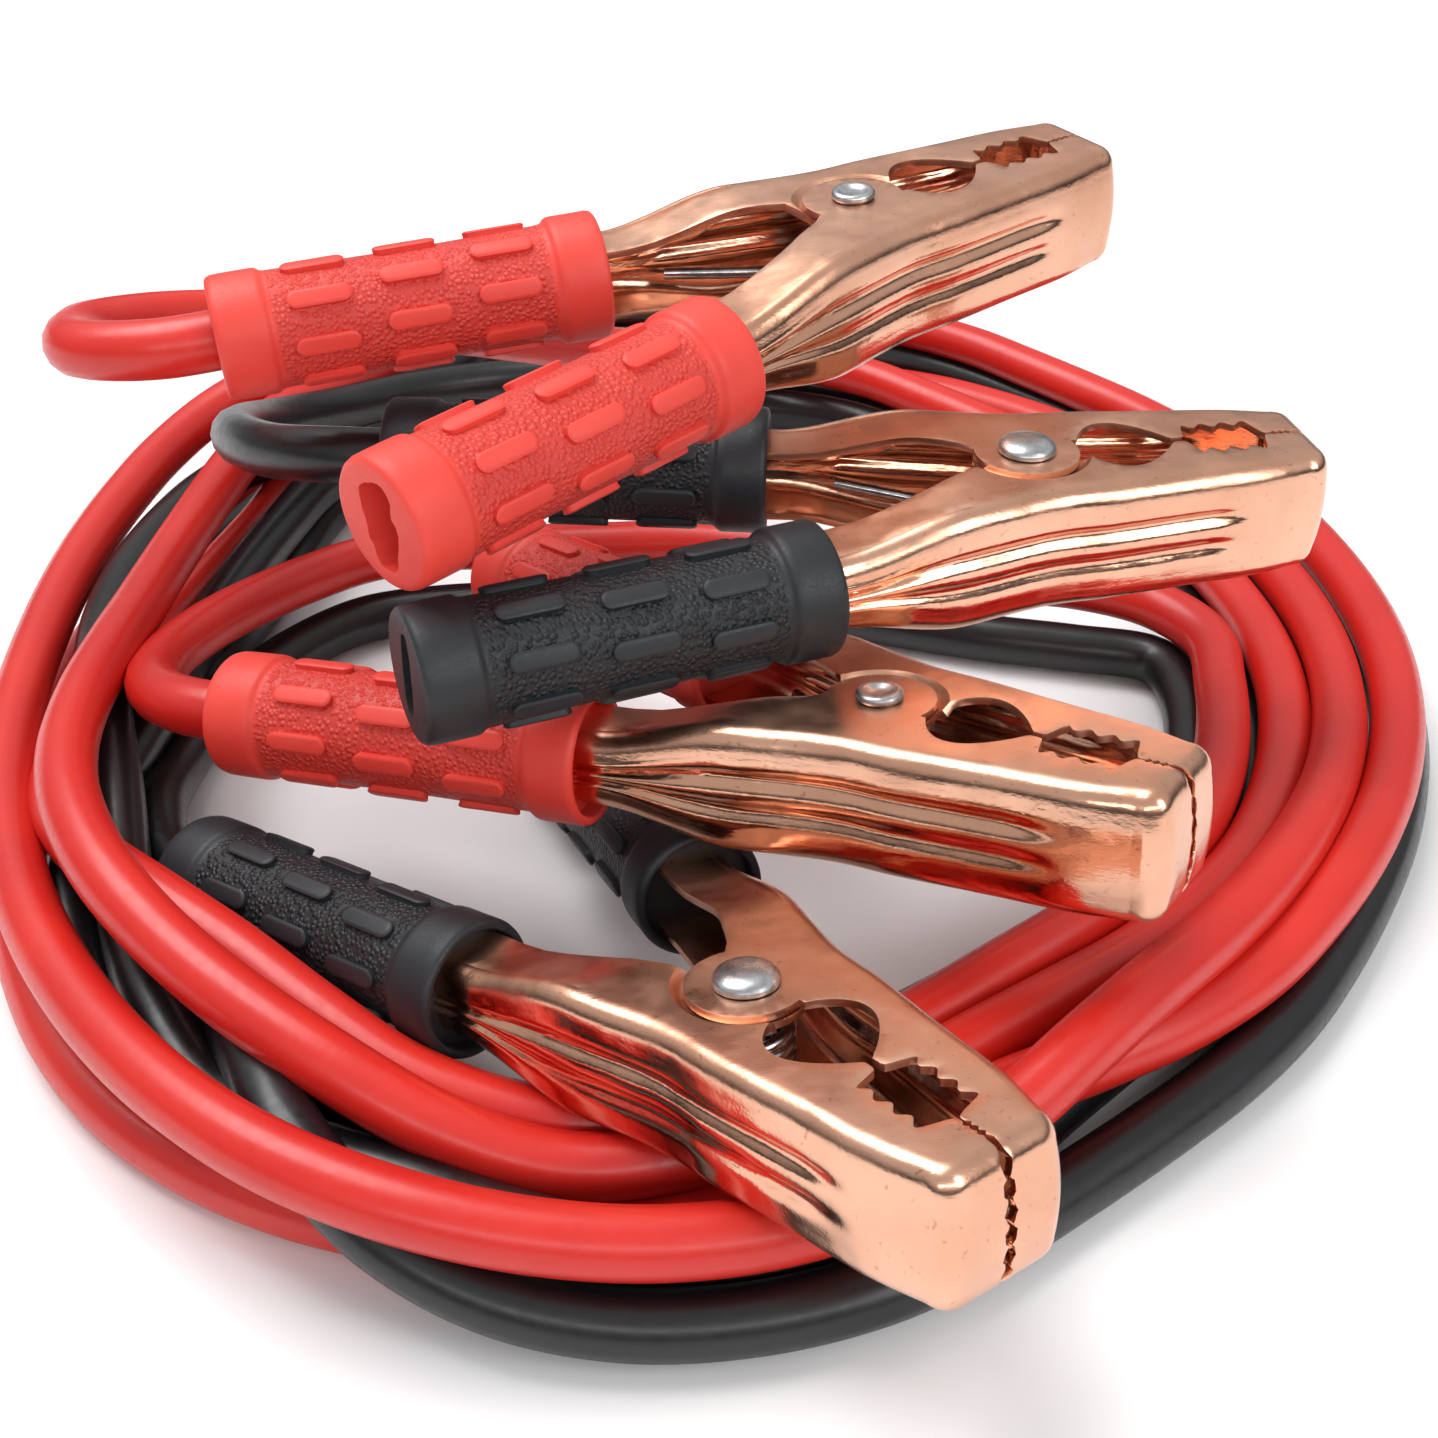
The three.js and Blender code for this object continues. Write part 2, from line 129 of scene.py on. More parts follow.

# The red cord round the coil, chosen from the photograph where it shows the cord,
# then adjusted. The hidden stretches are guessed. Each row is the angle clockwise
# seen from above, the radius from the coil's middle and the height, in degrees and mm.
COIL_MIDDLE = (0, 5)
READ_AT_HEIGHT = 14
COIL_TURNS = [
    # Turn 1
    (-15, 97, 14), (0, 98, 14), (10, 98.5, 14), (25, 101, 14), (37, 104, 14), (49, 105, 14),
    (62, 107, 13), (70, 110, 12), (84, 122, 12), (97, 130.5, 12), (108, 132.5, 12), (120, 129, 12),
    (132, 126, 12), (145, 125.5, 12), (160, 118, 12), (175, 112, 12), (189, 109, 12),
    (206, 113, 12), (221.5, 127, 12), (240, 136, 12), (262, 138, 14),
    # Turn 2
    (283.7, 134.8, 14), (296, 124, 14), (330, 110, 13), (349, 108.5, 12), (369, 109, 12),
    (385, 110, 12), (397, 111.5, 12), (409, 112.6, 12), (422, 115, 13), (430, 118, 13.5),
    (444, 130, 14), (457, 138, 14), (465, 141, 14), (472, 141, 15), (479.4, 139, 16),
    (489, 133.5, 18), (501.5, 127.3, 20), (517, 118.2, 21), (530, 110.7, 22), (549.3, 111.5, 22),
    (570, 124.6, 22), (584, 140, 22), (599.6, 150, 21), (622, 151, 20), (634, 155, 18),
    # Turn 3
    (650.8, 161, 15), (664.5, 152.5, 14), (672.8, 148.5, 14), (700, 136, 14), (727, 129, 14),
    (745, 126, 14), (758, 125.4, 13), (769.8, 127, 12), (781.3, 128, 11), (790.5, 130, 9),
    (800, 136, 7), (815, 142, 5), (828, 142, 5), (840, 140, 5), (853, 135, 5), (865, 130, 5),
    (878, 127, 5), (896, 126, 5), (915, 129, 5), (932, 136, 5), (950, 147, 7), (970, 153, 8),
    (990, 152, 8),
    # Turn 4
    (1008, 145, 10), (1022.6, 135, 12), (1050, 124, 14), (1087.8, 118.5, 14), (1104.8, 118, 14),
    (1116.4, 118.5, 14), (1128, 119.9, 14), (1140, 123, 14), (1150, 129, 14), (1164, 143, 14),
    (1176, 149, 14), (1186, 149.5, 14), (1199, 144.5, 15), (1213.5, 136, 15.5), (1232, 127.5, 16),
    (1256, 127.5, 17), (1282, 140, 20), (1298, 152, 23), (1315, 158, 27), (1335, 154, 30),
]
# Where the black cord lies against the red: angle round the coil,
# then angle from straight below towards the coil's middle
BLACK_SIDE = [
    (-15, 25), (0, 28), (60, 28), (90, 35), (110, 30), (130, 0), (165, 0), (190, 30), (230, 35),
    (300, 28), (420, 28), (490, 20), (530, 15), (600, 25), (640, 10), (680, -15), (720, -20),
    (760, -22), (790, -55), (800, -80), (815, -92), (826, -120), (836, -180), (846, -240),
    (856, -268), (900, -270), (960, -290), (1010, -325), (1050, -332), (1180, -330), (1220, -300),
    (1280, -290), (1335, -290),
]
FIRST_ANGLE, LAST_ANGLE, ANGLE_STEP = -3, 1326, 7.8
CORD_SPACING = 8.5


# Materials
def linear(hex_colour):
    """sRGB hex colour as linear RGBA."""
    parts = [int(hex_colour[i:i + 2], 16) / 255 for i in (1, 3, 5)]
    return [c / 12.92 if c <= 0.04045 else ((c + 0.055) / 1.055) ** 2.4 for c in parts] + [1.0]


def new_material(name):
    material = bpy.data.materials.new(name)
    material.use_nodes = True
    tree = material.node_tree
    tree.nodes.clear()

    def add(kind, inputs=None, **settings):
        node = tree.nodes.new(kind)
        for key, value in settings.items():
            setattr(node, key, value)
        for key, value in (inputs or {}).items():
            if isinstance(value, bpy.types.NodeSocket):
                tree.links.new(value, node.inputs[key])
            else:
                node.inputs[key].default_value = value
        return node

    return material, add


def finish_material(add, shader):
    add("ShaderNodeOutputMaterial", {"Surface": shader.outputs[0]})


def stretch_ramp(add, source, low, high, to_low, to_high):
    """Value mapped from one range to another, held at the ends."""
    return add("ShaderNodeMapRange", {
        "Value": source, "From Min": low, "From Max": high, "To Min": to_low, "To Max": to_high,
    }).outputs[0]


def mix_colour(add, factor, first, second):
    return add("ShaderNodeMix", {0: factor, 6: first, 7: second}, data_type="RGBA").outputs[2]


def copper_material():
    """Thin copper plating on pressed steel: satin on the flats, mirror bright on the bent walls."""
    material, add = new_material("copper_plating")
    place = add("ShaderNodeTexCoord").outputs["Object"]
    satin = add("ShaderNodeAttribute", attribute_name="satin").outputs["Fac"]
    cloud = add("ShaderNodeTexNoise", {"Vector": place, "Scale": 45.0, "Detail": 4.0}).outputs["Fac"]
    stain = stretch_ramp(add, cloud, 0.35, 0.7, 0.0, 1.0)
    bright = mix_colour(add, stain, linear("#EAB79C"), linear("#D9A083"))
    # Fine specks where the plating is thin or touched.
    speck = add("ShaderNodeTexNoise", {"Vector": place, "Scale": 900.0, "Detail": 2.0}).outputs["Fac"]
    spots = stretch_ramp(add, speck, 0.66, 0.74, 0.0, 0.55)
    colour = mix_colour(add, spots, bright, linear("#B57E63"))
    # Rolled grain on the flats: short fine streaks.
    drawn = add("ShaderNodeMapping", {"Vector": place, "Scale": (350.0, 1500.0, 1500.0)}).outputs[0]
    grain = add("ShaderNodeTexNoise", {"Vector": drawn, "Scale": 1.6, "Detail": 3.0}).outputs["Fac"]
    wide = add("ShaderNodeTexNoise", {"Vector": place, "Scale": 130.0, "Detail": 3.0}).outputs["Fac"]
    flat_rough = stretch_ramp(add, wide, 0.3, 0.7, 0.27, 0.42)
    wall_rough = stretch_ramp(add, wide, 0.3, 0.7, 0.08, 0.2)
    rough = add("ShaderNodeMix", {0: satin, 2: wall_rough, 3: flat_rough}, data_type="FLOAT").outputs[0]
    ripple = add("ShaderNodeTexNoise", {"Vector": place, "Scale": 95.0, "Detail": 2.0}).outputs["Fac"]
    waves = add("ShaderNodeBump", {"Height": ripple, "Strength": 0.26, "Distance": 0.0016}).outputs[0]
    fine = add("ShaderNodeBump", {
        "Height": grain, "Strength": 0.12, "Distance": 0.0002, "Normal": waves,
    }).outputs[0]
    shader = add("ShaderNodeBsdfPrincipled", {
        "Base Color": colour, "Metallic": 1.0, "Roughness": rough, "Normal": fine,
    })
    finish_material(add, shader)
    return material


def steel_material(name, colour, low, high):
    """Zinc plated steel: pale, softly clouded, with fine turning marks."""
    material, add = new_material(name)
    place = add("ShaderNodeTexCoord").outputs["Object"]
    cloud = add("ShaderNodeTexNoise", {"Vector": place, "Scale": 400.0, "Detail": 5.0}).outputs["Fac"]
    tone = mix_colour(add, stretch_ramp(add, cloud, 0.35, 0.7, 0.0, 1.0), linear(colour), linear("#8E9093"))
    rough = stretch_ramp(add, cloud, 0.3, 0.7, low, high)
    dents = add("ShaderNodeBump", {"Height": cloud, "Strength": 0.25, "Distance": 0.0003}).outputs[0]
    shader = add("ShaderNodeBsdfPrincipled", {
        "Base Color": tone, "Metallic": 1.0, "Roughness": rough, "Normal": dents,
    })
    finish_material(add, shader)
    return material


def rubber_material(name, base, worn, pit_shade):
    """Moulded soft PVC: matt, pebbled between the rim and the flange, with painted shade darkening the pits
    between the pebbles.
    """
    material, add = new_material(name)
    place = add("ShaderNodeTexCoord").outputs["Object"]
    pebbled = add("ShaderNodeAttribute", attribute_name="pebble").outputs["Fac"]
    cells = add("ShaderNodeTexVoronoi", {"Vector": place, "Scale": 1150.0, "Randomness": 0.9}, feature="F1")
    stipple = stretch_ramp(add, cells.outputs["Distance"], 0.1, 0.62, 1.0, 0.0)
    height = add("ShaderNodeMath", {0: stipple, 1: pebbled}, operation="MULTIPLY").outputs[0]
    cloud = add("ShaderNodeTexNoise", {"Vector": place, "Scale": 60.0, "Detail": 4.0}).outputs["Fac"]
    body = mix_colour(add, stretch_ramp(add, cloud, 0.35, 0.7, 0.0, 1.0), linear(base), linear(worn))
    # Painted shade: the pits between the pebbles are darkened towards the last colour given.
    pits = add("ShaderNodeMath", {0: 1.0, 1: height}, operation="SUBTRACT").outputs[0]
    pit_shade_mask = add("ShaderNodeMath", {0: pits, 1: pebbled}, operation="MULTIPLY").outputs[0]
    shade = add("ShaderNodeMath", {0: pit_shade_mask, 1: 0.4}, operation="MULTIPLY").outputs[0]
    colour = mix_colour(add, shade, body, linear(pit_shade))
    skin = add("ShaderNodeTexNoise", {"Vector": place, "Scale": 2200.0, "Detail": 3.0}).outputs["Fac"]
    rough = stretch_ramp(add, skin, 0.3, 0.7, 0.42, 0.58)
    smooth_bump = add("ShaderNodeBump", {"Height": skin, "Strength": 0.12, "Distance": 0.0002}).outputs[0]
    bump = add("ShaderNodeBump", {
        "Height": height, "Strength": 0.85, "Distance": 0.00035, "Normal": smooth_bump,
    }).outputs[0]
    shader = add("ShaderNodeBsdfPrincipled", {
        "Base Color": colour, "Roughness": rough, "Specular IOR Level": 0.45, "Normal": bump,
    })
    finish_material(add, shader)
    return material


def jacket_material(name, base, light):
    """Extruded PVC jacket: even satin sheen, slightly waxy, with faint drag marks and handling dust."""
    material, add = new_material(name)
    place = add("ShaderNodeTexCoord").outputs["Object"]
    cloud = add("ShaderNodeTexNoise", {"Vector": place, "Scale": 35.0, "Detail": 5.0}).outputs["Fac"]
    colour = mix_colour(add, stretch_ramp(add, cloud, 0.35, 0.75, 0.0, 1.0), linear(base), linear(light))
    skin = add("ShaderNodeTexNoise", {"Vector": place, "Scale": 700.0, "Detail": 4.0}).outputs["Fac"]
    rough = stretch_ramp(add, skin, 0.3, 0.7, 0.3, 0.42)
    lumps = add("ShaderNodeBump", {"Height": cloud, "Strength": 0.12, "Distance": 0.0012}).outputs[0]
    bump = add("ShaderNodeBump", {
        "Height": skin, "Strength": 0.07, "Distance": 0.0003, "Normal": lumps,
    }).outputs[0]
    shader = add("ShaderNodeBsdfPrincipled", {
        "Base Color": colour, "Roughness": rough, "Specular IOR Level": 0.5, "Normal": bump,
        "Coat Weight": 0.1, "Coat Roughness": 0.2,
    })
    finish_material(add, shader)
    return material


COPPER = copper_material()
RIVET_STEEL = steel_material("zinc_rivet", "#DADCDE", 0.22, 0.42)
SPRING_STEEL = steel_material("spring_wire", "#C9CBCE", 0.14, 0.3)
# The third colour of each grip rubber is the painted shade in its pits.
RED_RUBBER = rubber_material("red_grip_rubber", "#E8493D", "#DE3F34", "#A82A24")
BLACK_RUBBER = rubber_material("black_grip_rubber", "#1E2125", "#262A2E", "#0D0E10")
RED_JACKET = jacket_material("red_cable_jacket", "#C8211A", "#D62C20")
BLACK_JACKET = jacket_material("black_cable_jacket", "#0E0F11", "#15161A")


# Places of the clamps
def beside_handle(past, outward):
    along = np.array([-math.cos(GRIP_ANGLE), math.sin(GRIP_ANGLE)])
    across = np.array([math.sin(GRIP_ANGLE), math.cos(GRIP_ANGLE)])
    return np.array([-GRIP_BACK, GRIP_OUT]) + along * past + across * outward


def clamp_matrix(name):
    c = CLAMPS[name]
    turn, tilt, lean = (math.radians(c[k]) for k in ("turn", "tilt", "lean"))
    turning = Matrix.Rotation(turn, 4, "Z") @ Matrix.Rotation(tilt, 4, "Y") @ Matrix.Rotation(lean, 4, "X")
    return Matrix.Scale(MM, 4) @ Matrix.Translation(c["at"]) @ turning


# Cords
def eased(table, at):
    """Smooth curve through (place, value, ...) rows, read at the given places."""
    rows = np.array(table, dtype=float)
    places, values = rows[:, 0], rows[:, 1:]
    slopes = np.gradient(values, places, axis=0)
    i = np.clip(np.searchsorted(places, at) - 1, 0, len(places) - 2)
    span = (places[i + 1] - places[i])[:, None]
    t = (np.asarray(at) - places[i])[:, None] / span
    return ((2 * t ** 3 - 3 * t ** 2 + 1) * values[i] + (t ** 3 - 2 * t ** 2 + t) * span * slopes[i]
            + (3 * t ** 2 - 2 * t ** 3) * values[i + 1] + (t ** 3 - t ** 2) * span * slopes[i + 1])


def evenly(points, spacing):
    """Points along a smooth curve through the given ones, at an even spacing."""
    points = np.array(points, dtype=float)
    run = np.concatenate([[0], np.cumsum(np.linalg.norm(np.diff(points, axis=0), axis=1))])
    fine = eased(np.column_stack([run, points]), np.linspace(0, run[-1], 6000))
    run = np.concatenate([[0], np.cumsum(np.linalg.norm(np.diff(fine, axis=0), axis=1))])
    steps = np.linspace(0, run[-1], int(run[-1] / spacing) + 1)
    return np.column_stack([np.interp(steps, run, fine[:, k]) for k in range(3)])


def seen_at_height(angle, radius, height):
    """Radius and angle of a raised strand that the camera sees where the table puts it."""
    middle = np.array([*COIL_MIDDLE, 0.0])
    eye = np.array(camera.location) / MM + (LAYOUT_X, LAYOUT_Y, 0)
    turn = math.radians(-angle)
    spot = middle + (radius * math.cos(turn), radius * math.sin(turn), READ_AT_HEIGHT)
    raised = eye + (spot - eye) * (height - eye[2]) / (spot[2] - eye[2]) - middle
    drift = math.degrees(math.atan2(raised[1], raised[0])) + angle
    return angle - ((drift + 180) % 360 - 180), math.hypot(raised[0], raised[1]), height


def coil_routes():
    """Turns of the red cord and of the black one beside it, in the frame of the photograph."""
    rows = []
    for angle, radius, height in COIL_TURNS:
        on_left = abs((angle % 360) - 180) < 75
        row = (angle, radius, height)
        rows.append(seen_at_height(*row) if on_left and height > 14.5 else row)
    angles = np.arange(FIRST_ANGLE, LAST_ANGLE, ANGLE_STEP)
    radius, height = eased(rows, angles).T
    side = np.radians(eased(BLACK_SIDE, angles)[:, 0])
    turn = np.radians(-angles)
    inward, drop = 2 * CORD_RADIUS * np.sin(side), 2 * CORD_RADIUS * np.cos(side)

    def round_middle(reach, level):
        x, y = COIL_MIDDLE
        return np.column_stack([x + reach * np.cos(turn), y + reach * np.sin(turn), level])

    return round_middle(radius, height), round_middle(radius - inward, height - drop)


def grip_exit(name):
    """Three points of the lead inside and just past its grip, in the frame of the photograph."""
    sign = -1 if CLAMPS[name]["fixed"] == "front" else 1
    spots = [beside_handle(past, 0) for past in LEAD_PAST]
    placed = [clamp_matrix(name) @ Vector((x, sign * y, 0)) / MM for x, y in spots]
    return [np.array(p) + (LAYOUT_X, LAYOUT_Y, 0) for p in placed]


def clear_of_clamps(points, held):
    """Points pushed out of the two lower clamps' grips and jaws."""
    for name in ("lower_black", "lower_red"):
        matrix = np.array(clamp_matrix(name)) / MM
        turning, at = matrix[:3, :3], matrix[:3, 3] + (LAYOUT_X, LAYOUT_Y, 0)
        own = (points - at) @ turning
        out_y = np.interp(own[:, 0], [-36, -10, 0, 25, 50], [24, 20, 18.5, 16.5, 12.5]) + CORD_RADIUS
        channel = [HANDLE_HALF, PLATE_HALF, PLATE_HALF]
        out_z = np.interp(own[:, 0], [-36, -14, 52], channel) + CORD_RADIUS + 0.3
        within = (own[:, 0] > -36) & (own[:, 0] < 55) & (abs(own[:, 1]) < out_y) & (abs(own[:, 2]) < out_z)
        own[within, 2] = np.where(own[within, 2] < 2, -1, 1) * out_z[within]
        for sign in (-1, 1):
            start = np.array([-GRIP_BACK, sign * GRIP_OUT, 0])
            axis = np.array([-math.cos(GRIP_ANGLE), sign * math.sin(GRIP_ANGLE), 0])
            along = (own - start) @ axis
            away = own - start - np.clip(along, 0, GRIP_LENGTH)[:, None] * axis
            far = np.linalg.norm(away, axis=1)
            near = (far < RIM_RADIUS + CORD_RADIUS) & (along > -2) & (along < GRIP_LENGTH)
            own[near] += away[near] * ((RIM_RADIUS + CORD_RADIUS) / far[near] - 1)[:, None]
        points = np.where(held[:, None], points, own @ turning.T + at)
    return points


def settle(red, black, rounds=150):
    """Cords pressed apart where they touch, kept smooth and on the floor. Some contact is left."""
    start = np.vstack([red, black])
    cord = np.repeat([0, 1], [len(red), len(black)])
    order = np.concatenate([np.arange(len(red)), np.arange(len(black))])
    last = np.array([len(red), len(black)])[cord]
    held = (order < 6) | (order > last - 7)
    apart = (cord[:, None] != cord[None]) | (abs(order[:, None] - order[None]) > 4)
    points = start.copy()
    for _ in range(rounds):
        between = points[:, None] - points[None]
        distance = np.linalg.norm(between, axis=2) + np.eye(len(points))
        touch = apart & (distance < 2 * CORD_RADIUS)
        push = np.where(touch, (2 * CORD_RADIUS / distance - 1) * 0.3, 0)
        points = clear_of_clamps(points + (between * push[..., None]).sum(axis=1), held)
        shift = points - start
        shift[1:-1] = 0.5 * shift[1:-1] + 0.25 * (shift[:-2] + shift[2:])
        shift[held] = 0
        points = start + shift
        points[:, 2] = np.maximum(points[:, 2], CORD_RADIUS)
    points -= (LAYOUT_X, LAYOUT_Y, 0)
    return points[:len(red)], points[len(red):]


def cord_routes():
    red_turns, black_turns = coil_routes()
    ends = {name: grip_exit(name) + [np.array(p, dtype=float) for p in LEADS[name]] for name in CLAMPS}
    red = evenly([*ends["lower_red"], *red_turns, *reversed(ends["upper_red"])], CORD_SPACING)
    black = evenly([*ends["lower_black"], *black_turns, *reversed(ends["upper_black"])], CORD_SPACING)
    return settle(red, black)


def spline_handles(points):
    tangents = np.gradient(points, axis=0)
    return points - tangents / 3, points + tangents / 3


def make_cord(name, route, material):
    """Round cord along a smooth curve through the route's points."""
    points = np.array(route) * MM
    curve = bpy.data.curves.new(name, "CURVE")
    curve.dimensions = "3D"
    curve.bevel_depth = (CORD_RADIUS - 0.02) * MM
    curve.bevel_resolution = 5
    curve.resolution_u = 8
    curve.use_fill_caps = True
    spline = curve.splines.new("BEZIER")
    spline.bezier_points.add(len(points) - 1)
    before, after = spline_handles(points)
    for knot, point, left, right in zip(spline.bezier_points, points, before, after):
        knot.co, knot.handle_left, knot.handle_right = point, left, right
    curve.materials.append(material)
    cord = bpy.data.objects.new(name, curve)
    scene.collection.objects.link(cord)
    dense = []
    for i in range(len(points) - 1):
        for t in np.linspace(0, 1, 8, endpoint=False):
            dense.append((1 - t) ** 3 * points[i] + 3 * (1 - t) ** 2 * t * after[i]
                         + 3 * (1 - t) * t ** 2 * before[i + 1] + t ** 3 * points[i + 1])
    dense.append(points[-1])
    length = float(np.linalg.norm(np.diff(np.array(dense), axis=0), axis=1).sum())
    return cord, points, length


red_route, black_route = cord_routes()
for cord_name, route, jacket, slot, upper, lower in [
    ("red_cord", red_route[::2], RED_JACKET, "red_jacket", "upper_red", "lower_red"),
    ("black_cord", black_route[::2], BLACK_JACKET, "black_jacket", "upper_black", "lower_black"),
]:
    cord, points, length = make_cord(cord_name, route, jacket)
    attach(cord, "root")
    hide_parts(f"{upper}_lead", f"{lower}_lead", "cable_coil")


# Mesh helpers
def build_mesh(name, verts, faces, attributes=None):
    """Mesh in millimetres with smooth faces and optional float attributes on its points."""
    mesh = bpy.data.meshes.new(name)
    mesh.from_pydata([tuple(v) for v in verts], [], faces)
    for label, values in (attributes or {}).items():
        layer = mesh.attributes.new(label, "FLOAT", "POINT")
        layer.data.foreach_set("value", values)
    mesh.shade_smooth()
    return mesh


def evaluated(mesh, *modifiers):
    """Mesh with modifiers applied; each is (type, settings)."""
    holder = bpy.data.objects.new("holder", mesh)
    scene.collection.objects.link(holder)
    for kind, settings in modifiers:
        modifier = holder.modifiers.new(kind.lower(), kind)
        for key, value in settings.items():
            if key in modifier.bl_rna.properties:
                setattr(modifier, key, value)
            else:
                modifier[key] = value
    bpy.context.view_layer.update()
    shown = holder.evaluated_get(bpy.context.evaluated_depsgraph_get())
    result = bpy.data.meshes.new_from_object(shown)
    bpy.data.objects.remove(holder)
    return result


def place_piece(name, mesh, matrix, material, body, node, sharp=40):
    """Piece in the part's frame from a mesh in the clamp's own frame."""
    own = mesh.copy()
    own.name = name
    own.transform(matrix)
    if matrix.determinant() < 0:
        own.flip_normals()
    own.materials.clear()
    own.materials.append(material)
    own.set_sharp_from_angle(angle=math.radians(sharp))
    piece = bpy.data.objects.new(name, own)
    scene.collection.objects.link(piece)
    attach(piece, body)
    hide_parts(node)
    return piece


def revolve(profile, segments=96):
    """Closed solid round the x axis from (along, radius) points that start and end on the axis."""
    verts = [(profile[0][0], 0, 0), (profile[-1][0], 0, 0)]
    rings = []
    for along, radius in profile[1:-1]:
        rings.append(len(verts))
        for i in range(segments):
            angle = 2 * math.pi * i / segments
            verts.append((along, radius * math.cos(angle), radius * math.sin(angle)))
    faces = []
    for i in range(segments):
        j = (i + 1) % segments
        faces.append((0, rings[0] + j, rings[0] + i))
        faces.append((1, rings[-1] + i, rings[-1] + j))
        for a, b in zip(rings, rings[1:]):
            faces.append((a + i, a + j, b + j, b + i))
    return verts, faces


def smoothstep(value):
    t = min(max(value, 0.0), 1.0)
    return t * t * (3 - 2 * t)


# Stamped copper halves
def catmull(points, count):
    points = np.array(points)
    last = len(points) - 1
    out = []
    for t in np.linspace(0, last, count):
        i = min(int(t), last - 1)
        w = t - i
        p0, p1, p2, p3 = points[max(i - 1, 0)], points[i], points[i + 1], points[min(i + 2, last)]
        v0, v1 = (p2 - p0) / 2, (p3 - p1) / 2
        cubic = 2 * p1 - 2 * p2 + v0 + v1
        square = -3 * p1 + 3 * p2 - 2 * v0 - v1
        out.append(cubic * w ** 3 + square * w ** 2 + v0 * w + p1)
    return out


def outer_line():
    """Outside of a half from the nose seam round the cheek to the handle."""
    line = [np.array([JAW, y]) for y in np.linspace(GAP / 2, NOSE_HALF - NOSE_ROUND, 6)[:-1]]
    for turn in np.linspace(0, math.pi / 2, 9):
        line.append(np.array([JAW - NOSE_ROUND + NOSE_ROUND * math.cos(turn),
                              NOSE_HALF - NOSE_ROUND + NOSE_ROUND * math.sin(turn)]))
    cheek = catmull([
        (JAW - NOSE_ROUND, NOSE_HALF),
        (JAW * 0.74, NOSE_HALF * 0.4 + CHEEK_HALF * 0.6),
        (JAW * 0.5, CHEEK_HALF),
        (JAW * 0.22, (CHEEK_HALF + PIVOT_HALF) / 2 + 0.4),
        (0, PIVOT_HALF),
        beside_handle(-GRIP_BACK * 0.55, HANDLE_HALF + 0.7),
        beside_handle(-2, HANDLE_HALF),
    ], 64)
    return line + cheek[1:] + [beside_handle(p, HANDLE_HALF) for p in (3, 8, 13)]


def inner_line():
    """Plate edge from the handle back to the nose: neck, ear, lens, wavy bite, zigzag seam."""
    line = [beside_handle(p, -HANDLE_HALF) for p in (13, 7, 1)]
    neck = [beside_handle(-1, -HANDLE_HALF), (-EAR - 13, 10.2), (-EAR - 6.5, 7.4), (-EAR - 2, 4.9)]
    line += catmull(neck, 14)
    for angle in np.linspace(math.radians(162), math.radians(377), 48):
        line.append(np.array([EAR * math.cos(angle), EAR * math.sin(angle)]))
    start, end, steps = 8.6, 25.0, 26
    for i in range(1, steps):
        share = i / steps
        bulge = math.sin(math.pi * share ** 0.8) ** 0.8
        edge = max(GAP / 2 + 8.0 * bulge, 2.6 * (1 - share * 6))
        line.append(np.array([start + (end - start) * share, edge]))
    line += [np.array([25.0, GAP / 2 + 0.5]), np.array([26.4, GAP / 2 + 0.5])]
    for x in np.arange(27.0, 41.2, 0.3):
        rise = smoothstep((x - 26.4) / 2.2) * smoothstep((41.3 - x) / 2.0)
        wave = 0.5 - 0.5 * math.cos(2 * math.pi * (x - 28.2) / 3.6)
        line.append(np.array([x, GAP / 2 + rise * (5.0 - 1.3 * wave)]))
    line.append(np.array([41.4, GAP / 2]))
    for x in (42.0, 43.2, 44.4):
        line += [np.array([x, GAP / 2]), np.array([x + 0.6, GAP / 2 + 0.55])]
    line.append(np.array([45.6, GAP / 2]))
    return [np.array(p, dtype=float) for p in line]


def plate_height(x):
    """Half height of the channel: full at the jaw, drawn together to the handle."""
    return HANDLE_HALF + (PLATE_HALF - HANDLE_HALF) * smoothstep((x + 36) / 23)


def inside(point, outline):
    hit = False
    for (x1, y1), (x2, y2) in zip(outline, outline[1:] + outline[:1]):
        if (y1 > point[1]) != (y2 > point[1]) and point[0] < (x2 - x1) * (point[1] - y1) / (y2 - y1) + x1:
            hit = not hit
    return hit


